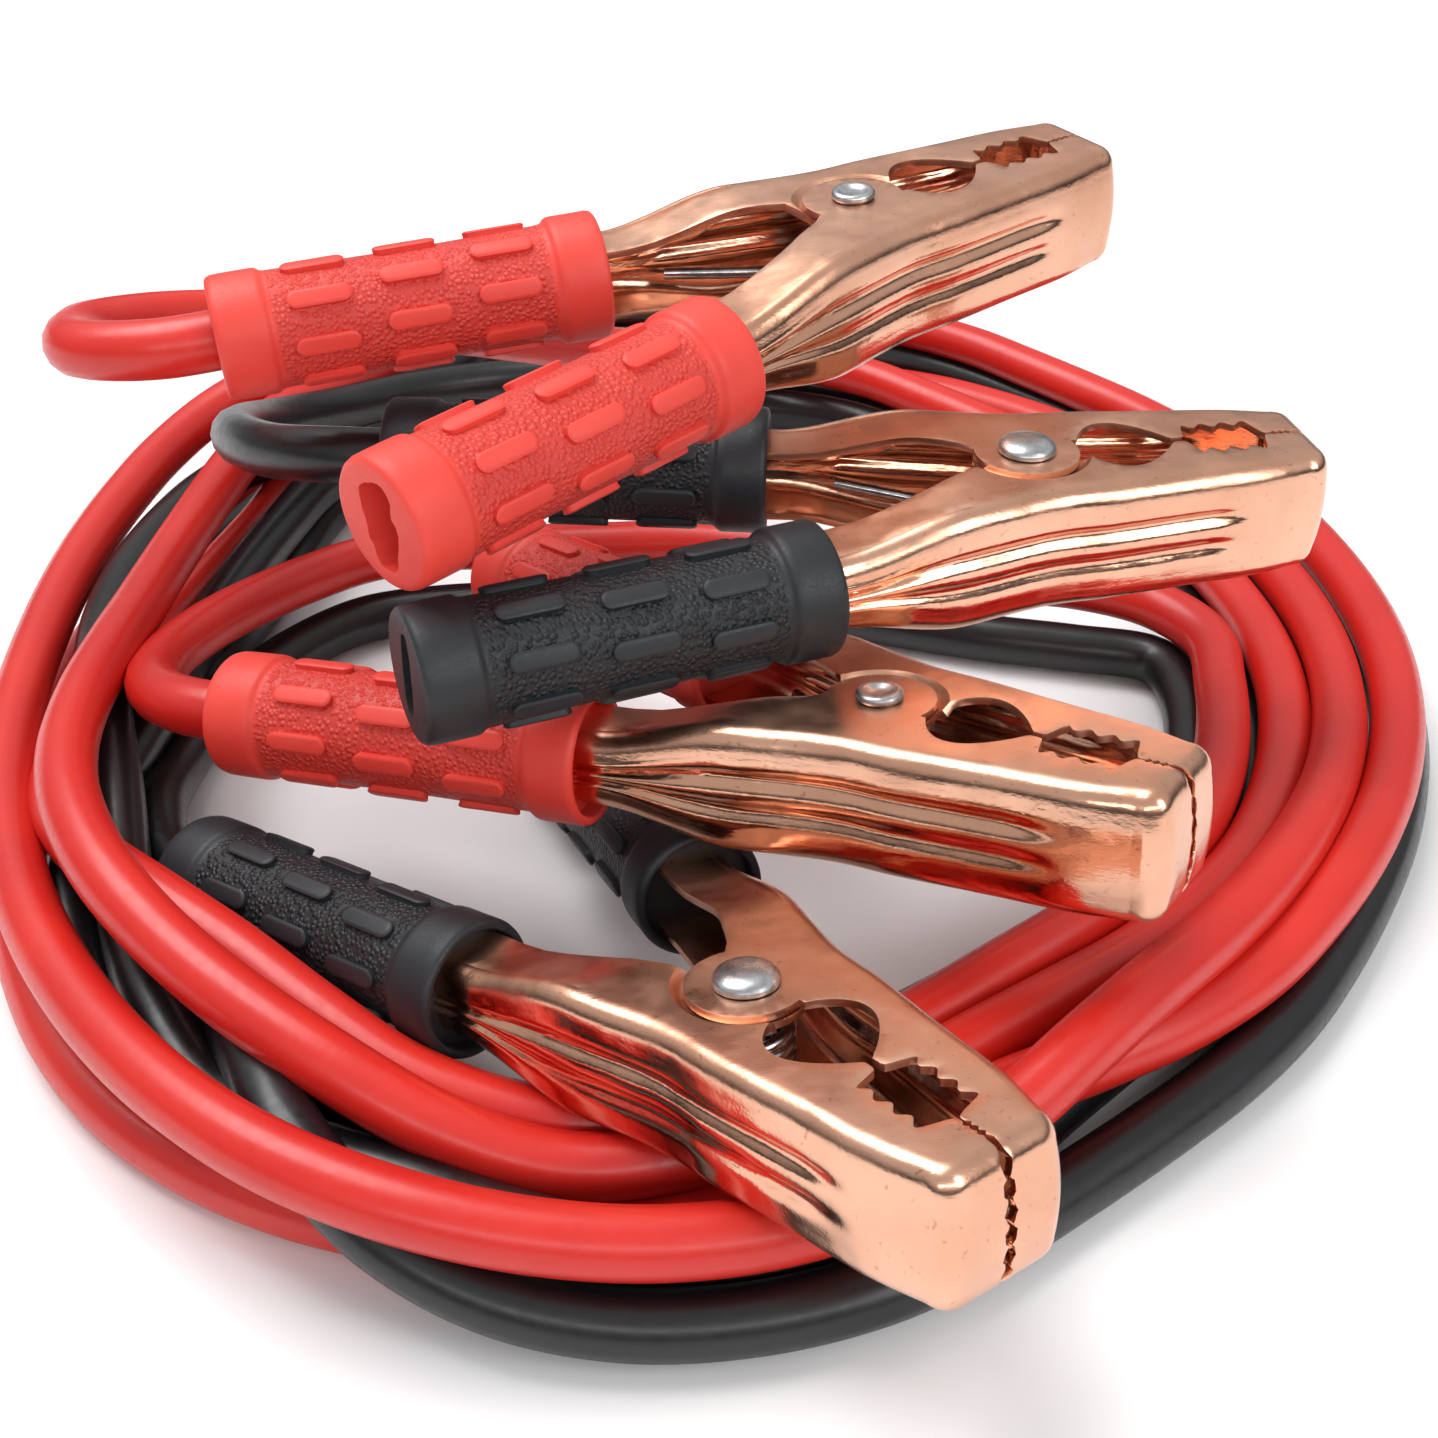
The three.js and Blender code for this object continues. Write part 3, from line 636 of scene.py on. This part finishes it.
def stamped_half(ears_outside):
    """Rear half: two plates joined by one bent, ribbed outer wall."""
    line = outer_line()
    step = np.gradient(np.array(line), axis=0)
    normals = [np.array([-t[1], t[0]]) / np.linalg.norm(t) for t in step]
    normals[0] = np.array([-1.0, 0.0])
    folds = np.linspace(0, math.pi / 2, 7)
    heights = np.linspace(1, -1, 27)
    verts, satin, faces = [], [], []
    grid = []
    for index, (point, normal) in enumerate(zip(line, normals)):
        column = []
        wall_fade = smoothstep((37 - point[0]) / 10)
        half = plate_height(point[0]) - FOLD
        section = [
            (BARREL + (FOLD - BARREL) * (1 - math.sin(f)), FOLD * math.cos(f) + half, 1 - f / 1.6)
            for f in folds
        ]
        for share in heights[1:-1]:
            upper = math.exp(-((share - 0.42) / 0.17) ** 2)
            lower = 0.85 * math.exp(-((share + 0.34) / 0.2) ** 2)
            ridge = GROOVE_DEPTH * (upper + lower) * wall_fade
            section.append((BARREL * share ** 2 + ridge, share * half, 0.0))
        section += [(u, -z, s) for u, z, s in reversed(section[:7])]
        for u, z, s in section:
            spot = point + normal * u
            lift = plate_height(spot[0]) - plate_height(point[0])
            level = z + math.copysign(lift, z) * min(abs(z) / plate_height(point[0]), 1)
            if index == 0:
                torn = 0.75 * abs(math.sin(z * 0.95)) + 0.25 * math.sin(z * 2.3 + 1) ** 2
                spot = spot + np.array([0, torn])
            column.append(len(verts))
            verts.append((spot[0], spot[1], level))
            satin.append(s)
        grid.append(column)
    for a, b in zip(grid, grid[1:]):
        for i in range(len(a) - 1):
            faces.append((a[i], a[i + 1], b[i + 1], b[i]))
    fold_edge = [np.array(verts[column[0]][:2]) for column in grid]
    outline = fold_edge + inner_line()
    extra = []
    for x in np.arange(-50, 48, 2.0):
        for y in np.arange(-8, 34, 2.0):
            if inside((x, y), [tuple(p) for p in outline]):
                to_edge = min(np.hypot(x - p[0], y - p[1]) for p in outline)
                if to_edge > 0.9 and abs(np.hypot(x, y) - 9.6) > 1.6:
                    extra.append((x, y))
    for radius in (8.2, 8.9, 9.4, 9.9, 10.5):
        for angle in np.linspace(0, 2 * math.pi, 56, endpoint=False):
            spot = (radius * math.cos(angle), radius * math.sin(angle))
            if inside(spot, [tuple(p) for p in outline]):
                if min(np.hypot(spot[0] - p[0], spot[1] - p[1]) for p in outline) > 0.45:
                    extra.append(spot)
    flat = [Vector((float(p[0]), float(p[1]))) for p in outline] + [Vector(p) for p in extra]
    rim = [(i, (i + 1) % len(outline)) for i in range(len(outline))]
    spots, _, triangles = delaunay_2d_cdt(flat, rim, [], 1, 1e-4)[:3]
    for end in (1, -1):
        base = len(verts)
        for spot in spots:
            lowered = 0.0
            if not ears_outside:
                lowered = (SHEET + GAP) * smoothstep((10.6 - spot.length) / 1.6)
            verts.append((spot.x, spot.y, end * (plate_height(spot.x) - lowered)))
            satin.append(1.0)
        for triangle in triangles:
            corners = [base + i for i in triangle]
            faces.append(corners if end > 0 else corners[::-1])
    mesh = build_mesh("stamped", verts, faces, {"satin": satin})
    shell = bmesh.new()
    shell.from_mesh(mesh)
    bmesh.ops.remove_doubles(shell, verts=shell.verts, dist=0.02)
    bmesh.ops.recalc_face_normals(shell, faces=shell.faces)
    if sum(f.normal.z * f.calc_area() for f in shell.faces if f.calc_center_median().z > 6) < 0:
        bmesh.ops.reverse_faces(shell, faces=shell.faces)
    shell.to_mesh(mesh)
    shell.free()
    mesh.shade_smooth()
    return evaluated(
        mesh,
        ("SOLIDIFY", {"thickness": SHEET, "offset": -1, "use_even_offset": True}),
        ("BEVEL", {"width": 0.22, "segments": 2, "limit_method": "ANGLE", "angle_limit": math.radians(55)}),
    )


# Rubber grips
def lug_mesh():
    """Raised bar with rounded ends and softened top edge."""
    length, width = 10.6, 3.1
    verts, faces = [], []
    levels = [(-0.6, 0.15), (0.35, 0.1), (0.72, 0.0), (0.93, 0.25), (1.0, 0.6)]
    count = 28
    for height, inset in levels:
        radius = width / 2 - inset
        for i in range(count):
            angle = 2 * math.pi * (i + 0.5) / count
            side = math.copysign(length / 2 - width / 2, math.cos(angle))
            verts.append((side + radius * math.cos(angle), radius * math.sin(angle), height))
    for level in range(len(levels) - 1):
        for i in range(count):
            j = (i + 1) % count
            a, b = level * count, (level + 1) * count
            faces.append((a + i, a + j, b + j, b + i))
    faces.append(tuple(range(count - 1, -1, -1)))
    faces.append(tuple((len(levels) - 1) * count + i for i in range(count)))
    return build_mesh("lug", verts, faces)


def lug_tree():
    """Rings of lugs round the x axis, each ring turned by a share of a step."""
    tree = bpy.data.node_groups.new("lug_rings", "GeometryNodeTree")
    face = tree.interface
    face.new_socket("Geometry", in_out="INPUT", socket_type="NodeSocketGeometry")
    for label, kind, value in [
        ("Rings", "NodeSocketInt", 3),
        ("Lugs per ring", "NodeSocketInt", 8),
        ("First ring", "NodeSocketFloat", 17.0),
        ("Ring pitch", "NodeSocketFloat", 15.4),
        ("Radius", "NodeSocketFloat", 9.5),
        ("First angle", "NodeSocketFloat", 0.3),
        ("Twist", "NodeSocketFloat", 0.22),
        ("Lug", "NodeSocketObject", None),
        ("Finish", "NodeSocketMaterial", None),
    ]:
        socket = face.new_socket(label, in_out="INPUT", socket_type=kind)
        if value is not None:
            socket.default_value = value
    face.new_socket("Geometry", in_out="OUTPUT", socket_type="NodeSocketGeometry")

    def add(kind, inputs=None, **settings):
        node = tree.nodes.new(kind)
        for key, value in settings.items():
            setattr(node, key, value)
        for key, value in (inputs or {}).items():
            if isinstance(value, bpy.types.NodeSocket):
                tree.links.new(value, node.inputs[key])
            else:
                node.inputs[key].default_value = value
        return node

    def maths(operation, first, second=0.0):
        return add("ShaderNodeMath", {0: first, 1: second}, operation=operation).outputs[0]

    given = add("NodeGroupInput").outputs
    total = maths("MULTIPLY", given["Rings"], given["Lugs per ring"])
    dots = add("GeometryNodeMeshLine", {"Count": total}).outputs[0]
    index = add("GeometryNodeInputIndex").outputs[0]
    ring = maths("FLOOR", maths("DIVIDE", index, given["Lugs per ring"]))
    place = maths("SUBTRACT", index, maths("MULTIPLY", ring, given["Lugs per ring"]))
    offset = maths("MULTIPLY", ring, given["Twist"])
    share = maths("DIVIDE", maths("ADD", place, offset), given["Lugs per ring"])
    angle = maths("ADD", maths("MULTIPLY", share, 2 * math.pi), given["First angle"])
    from_rim = maths("ADD", given["First ring"], maths("MULTIPLY", ring, given["Ring pitch"]))
    along = maths("MULTIPLY", from_rim, -1.0)
    across = maths("MULTIPLY", maths("MULTIPLY", maths("SINE", angle), given["Radius"]), -1.0)
    up = maths("MULTIPLY", maths("COSINE", angle), given["Radius"])
    spot = add("ShaderNodeCombineXYZ", {0: along, 1: across, 2: up}).outputs[0]
    laid = add("GeometryNodeSetPosition", {"Geometry": dots, "Position": spot}).outputs[0]
    turn = add("ShaderNodeCombineXYZ", {0: angle, 1: 0.0, 2: 0.0}).outputs[0]
    lug = add("GeometryNodeObjectInfo", {"Object": given["Lug"]}).outputs["Geometry"]
    rings = add("GeometryNodeInstanceOnPoints", {
        "Points": laid, "Instance": lug, "Rotation": turn,
    }).outputs[0]
    real = add("GeometryNodeRealizeInstances", {"Geometry": rings}).outputs[0]
    joined = add("GeometryNodeJoinGeometry")
    tree.links.new(real, joined.inputs[0])
    tree.links.new(given["Geometry"], joined.inputs[0])
    finished = add("GeometryNodeSetMaterial", {
        "Geometry": joined.outputs[0], "Material": given["Finish"],
    }).outputs[0]
    add("NodeGroupOutput", {"Geometry": finished})
    return tree


LUG_TREE = lug_tree()
LUG = bpy.data.objects.new("lug", lug_mesh())
scene.collection.objects.link(LUG)


def hole_cutter(width, height, ragged, depth, seed):
    """Upright hole in the end of a grip, its outline slightly torn where the rubber gave way."""
    rng = np.random.default_rng(seed)
    count = 40
    rough = np.tile(rng.normal(0, ragged, count), 3)
    wobble = np.convolve(rough, [0.25, 0.5, 0.25], "same")[count:2 * count]
    verts, faces = [], []
    for along in (-GRIP_LENGTH - 2, -GRIP_LENGTH + depth):
        for i in range(count):
            angle = 2 * math.pi * i / count
            c, s = math.cos(angle), math.sin(angle)
            y = math.copysign(abs(c) ** 0.7, c) * (width / 2) + wobble[i] * c * 0.6
            z = math.copysign(abs(s) ** 0.9, s) * (height / 2) + wobble[i] * s * 0.6
            verts.append((along, y, z))
    for i in range(count):
        j = (i + 1) % count
        faces.append((i, j, count + j, count + i))
    faces.append(tuple(range(count - 1, -1, -1)))
    faces.append(tuple(range(count, 2 * count)))
    mesh = build_mesh("hole", verts, faces)
    holder = bpy.data.objects.new("hole", mesh)
    scene.collection.objects.link(holder)
    return holder


def grip_mesh(cutter, material, first_angle):
    """Sleeve with a hollow rim, pebbled waist with lugs, and a smooth end flange."""
    profile = [(3, 0), (3, 9.15), (0.5, 9.2), (0.1, 9.45), (0, 9.8), (0.08, 10.2), (0.4, 10.6)]
    profile += [(1.1, RIM_RADIUS)]
    profile += [(along, RIM_RADIUS - 0.04) for along in (3, 5, 7)]
    profile += [(7.9, 10.68), (8.3, 10.45), (8.6, 10.1), (8.9, 9.86), (9.3, 9.74)]
    for along in np.linspace(10.2, 55.2, 18):
        sag = math.sin(math.pi * (along - 9) / 47.5)
        profile.append((along, GRIP_RADIUS - (GRIP_RADIUS - WAIST_RADIUS) * sag))
    profile += [(56.0, 9.72), (56.4, 9.86), (56.7, 10.1), (57.1, 10.33), (57.6, FLANGE_RADIUS)]
    profile += [(60, FLANGE_RADIUS), (62.5, FLANGE_RADIUS - 0.02), (64.2, 10.3), (64.9, 10.1), (65.35, 9.7)]
    profile += [(65.5, 9.1), (65.5, 0)]
    verts, faces = revolve([(-along, radius) for along, radius in profile])
    pebble = [min(smoothstep((-v[0] - 9.2) / 1.2), smoothstep((56.2 + v[0]) / 1.2)) for v in verts]
    mesh = build_mesh("grip", verts, faces, {"pebble": pebble})
    fix = bmesh.new()
    fix.from_mesh(mesh)
    bmesh.ops.recalc_face_normals(fix, faces=fix.faces)
    fix.to_mesh(mesh)
    fix.free()
    sockets = {s.name: s.identifier for s in LUG_TREE.interface.items_tree if s.in_out == "INPUT"}
    return evaluated(
        mesh,
        ("BOOLEAN", {"operation": "DIFFERENCE", "solver": "EXACT", "object": cutter}),
        ("NODES", {
            "node_group": LUG_TREE, sockets["Rings"]: 3, sockets["Lugs per ring"]: 8,
            sockets["First angle"]: first_angle, sockets["Lug"]: LUG, sockets["Finish"]: material,
        }),
    )


# Rivets and springs
def rivet_mesh(domed):
    seat = PLATE_HALF + 0.3
    if domed:
        head = [
            (seat - 0.1, 4.75), (seat + 0.25, 4.8), (seat + 0.7, 4.65), (seat + 1.2, 4.2),
            (seat + 1.6, 3.4), (seat + 1.85, 2.3), (seat + 1.95, 1.1), (seat + 1.98, 0),
        ]
    else:
        head = [
            (seat - 0.1, 3.5), (seat + 0.3, 3.7), (seat + 0.75, 3.65), (seat + 1.1, 3.3),
            (seat + 1.2, 2.8), (seat + 1.05, 2.3), (seat + 0.7, 1.7), (seat + 0.55, 0.9), (seat + 0.5, 0),
        ]
    up = [(z, r) for z, r in reversed(head)]
    profile = up + [(seat - 0.1, 3.0), (-seat + 0.1, 3.0)] + [(-z, r) for z, r in head]
    verts, faces = revolve(profile, 48)
    turned = [(v[1], v[2], v[0]) for v in verts]
    mesh = build_mesh("rivet", turned, faces)
    fix = bmesh.new()
    fix.from_mesh(mesh)
    bmesh.ops.recalc_face_normals(fix, faces=fix.faces)
    fix.to_mesh(mesh)
    fix.free()
    return mesh


def tube_mesh(name, path, radius, sides=14):
    """Round wire with closed ends along a path."""
    path = [Vector(p) for p in path]
    verts, faces = [], []
    side = (path[1] - path[0]).orthogonal().normalized()
    for i, point in enumerate(path):
        ahead = (path[min(i + 1, len(path) - 1)] - path[max(i - 1, 0)]).normalized()
        side = (side - ahead * side.dot(ahead)).normalized()
        other = ahead.cross(side)
        for k in range(sides):
            angle = 2 * math.pi * k / sides
            verts.append(point + (side * math.cos(angle) + other * math.sin(angle)) * radius)
    for i in range(len(path) - 1):
        for k in range(sides):
            m = (k + 1) % sides
            a, b = i * sides, (i + 1) * sides
            faces.append((a + k, a + m, b + m, b + k))
    faces.append(tuple(range(sides - 1, -1, -1)))
    faces.append(tuple((len(path) - 1) * sides + k for k in range(sides)))
    return build_mesh(name, verts, faces)


def spring_parts(fixed_sign):
    """Wound body with the fixed leg, and the free leg that starts beside it."""
    wire, radius = 1.05, 5.45
    lift = {-1: 4.6, 1: -4.6}

    def leg(sign):
        wall = beside_handle(-GRIP_BACK + 27, HANDLE_HALF - SHEET - wire - 2.2)
        start = Vector((0, sign * radius, lift[sign]))
        end = Vector((wall[0], sign * wall[1], lift[sign] * 0.6))
        return [start.lerp(end, t) for t in np.linspace(0, 1, 8)]

    turns = 4.5
    coil = []
    for t in np.linspace(0, 1, 130):
        angle = math.radians(-90) - 2 * math.pi * turns * t
        coil.append(Vector((radius * math.cos(angle), radius * math.sin(angle), 4.6 - 9.2 * t)))
    fixed = leg(fixed_sign)
    path = list(reversed(fixed)) + coil[1:] if fixed_sign < 0 else coil[:-1] + fixed
    return tube_mesh("spring_coil", path, wire), tube_mesh("spring_leg", leg(-fixed_sign), wire)


# The four clamps
HALVES = {outside: stamped_half(outside) for outside in (True, False)}
RIVETS = {domed: rivet_mesh(domed) for domed in (True, False)}
BORE = hole_cutter(BORE_ACROSS, BORE_ACROSS, 0.0, BORE_DEPTH, 1)
MIRROR = Matrix.Scale(-1, 4, (0, 1, 0))

for number, (name, clamp) in enumerate(CLAMPS.items()):
    matrix = clamp_matrix(name)
    rubber = RED_RUBBER if clamp["red"] else BLACK_RUBBER
    slit = hole_cutter(*clamp["hole"], SLIT_DEPTH, number + 3)
    for side in ("front", "rear"):
        role = "cable" if side == clamp["fixed"] else "free"
        body = "root" if role == "cable" else f"{name}_free_half"
        flip = MIRROR if side == "front" else Matrix.Identity(4)
        half = HALVES[side == clamp["outer"]]
        place_piece(f"{name}_{role}_jaw_look", half, matrix @ flip, COPPER, body, f"{name}_{role}_jaw",
                    34)
        sleeve = grip_mesh(BORE if role == "cable" else slit, rubber, 0.25 + 0.31 * number)
        seat = Matrix.Translation((-GRIP_BACK, GRIP_OUT, 0)) @ Matrix.Rotation(-GRIP_ANGLE, 4, "Z")
        place_piece(f"{name}_{role}_grip_look", sleeve, matrix @ flip @ seat, rubber, body,
                    f"{name}_{role}_grip", 50)
    place_piece(f"{name}_rivet_look", RIVETS[clamp["domed"]], matrix, RIVET_STEEL, "root", f"{name}_rivet")
    fixed_sign = -1 if clamp["fixed"] == "front" else 1
    coil, leg = spring_parts(fixed_sign)
    place_piece(f"{name}_spring_coil", coil, matrix, SPRING_STEEL, "root", f"{name}_spring",
                60)
    place_piece(f"{name}_spring_leg", leg, matrix, SPRING_STEEL, f"{name}_free_half", f"{name}_spring",
                60)
    bpy.data.objects.remove(slit)

for helper in (LUG, BORE):
    bpy.data.objects.remove(helper)

# Floor and light
floor_material, add_node = new_material("pale_floor")
spot = add_node("ShaderNodeTexCoord").outputs["Object"]
haze = add_node("ShaderNodeTexNoise", {"Vector": spot, "Scale": 3.0, "Detail": 2.0}).outputs["Fac"]
paper = mix_colour(add_node, haze, linear("#F7F7F8"), linear("#F2F2F3"))
sheet = add_node("ShaderNodeBsdfPrincipled", {
    "Base Color": paper, "Roughness": 0.7, "Specular IOR Level": 0.25,
})
finish_material(add_node, sheet)
floor_mesh = bpy.data.meshes.new("floor")
floor_mesh.from_pydata([(-4, -4, 0), (4, -4, 0), (4, 4, 0), (-4, 4, 0)], [], [(0, 1, 2, 3)])
floor_mesh.materials.append(floor_material)
floor = bpy.data.objects.new("floor", floor_mesh)
scene.collection.objects.link(floor)

world = bpy.data.worlds.new("studio")
scene.world = world
world.use_nodes = True
sky = world.node_tree
sky.nodes.clear()
output = sky.nodes.new("ShaderNodeOutputWorld")
background = sky.nodes.new("ShaderNodeBackground")
coordinates = sky.nodes.new("ShaderNodeTexCoord")
split = sky.nodes.new("ShaderNodeSeparateXYZ")
sky.links.new(coordinates.outputs["Generated"], split.inputs[0])
# Dark band near the horizon, which the copper mirrors as dark streaks.
band = sky.nodes.new("ShaderNodeValToRGB")
band.color_ramp.elements[0].position = 0.1
band.color_ramp.elements[0].color = (0.12, 0.12, 0.13, 1)
band.color_ramp.elements[1].position = 0.42
band.color_ramp.elements[1].color = (1, 1, 1, 1)
sky.links.new(split.outputs["Z"], band.inputs[0])
sky.links.new(band.outputs[0], background.inputs["Color"])
background.inputs["Strength"].default_value = 0.6
plain = sky.nodes.new("ShaderNodeBackground")
plain.inputs["Color"].default_value = (0.95, 0.95, 0.955, 1)
seen = sky.nodes.new("ShaderNodeLightPath")
choice = sky.nodes.new("ShaderNodeMixShader")
sky.links.new(seen.outputs["Is Camera Ray"], choice.inputs[0])
sky.links.new(background.outputs[0], choice.inputs[1])
sky.links.new(plain.outputs[0], choice.inputs[2])
sky.links.new(choice.outputs[0], output.inputs[0])


def area_light(name, location, target, width, height, power):
    data = bpy.data.lights.new(name, "AREA")
    data.shape = "RECTANGLE"
    data.size, data.size_y = width, height
    data.energy = power
    lamp = bpy.data.objects.new(name, data)
    scene.collection.objects.link(lamp)
    lamp.location = location
    lamp.rotation_euler = (Vector(target) - lamp.location).to_track_quat("-Z", "Y").to_euler()


area_light("key", (-0.5, 0.35, 1.25), (0, 0.05, 0), 0.9, 0.9, 16)
area_light("fill", (0.95, -0.7, 0.8), (0, 0.05, 0), 0.5, 0.9, 6)
area_light("strip", (0.1, -0.9, 0.55), (0, 0.0, 0.03), 1.2, 0.12, 2.5)
scene.view_settings.view_transform = "Standard"
scene.view_settings.look = "None"
